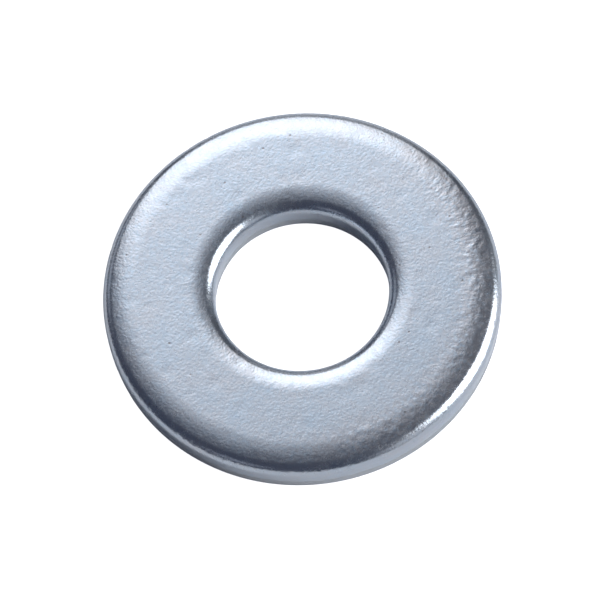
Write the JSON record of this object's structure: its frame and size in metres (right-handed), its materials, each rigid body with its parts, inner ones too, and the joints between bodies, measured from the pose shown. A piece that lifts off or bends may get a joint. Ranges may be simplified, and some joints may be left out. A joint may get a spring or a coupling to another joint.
{
  "type": "flat washer",
  "caption": "Round flat washer with a central bolt hole, stamped from steel sheet with rolled-over upper rims and zinc plated.",
  "frame": {"origin": "centre of the bolt hole on the lower bearing face", "axes": "+Z along the bolt hole, from the lower bearing face towards the face with the rolled-over rims; X and Y are any two square directions, since the washer is round"},
  "size_m": [0.0162, 0.016, 0.0016],
  "materials": {
    "zinc_plate": "satin, tumbled before plating, thin clear-blue passivation"
  },
  "bodies": {
    "root": {"flat_washer": "zinc_plate"}
  },
  "joints": []
}
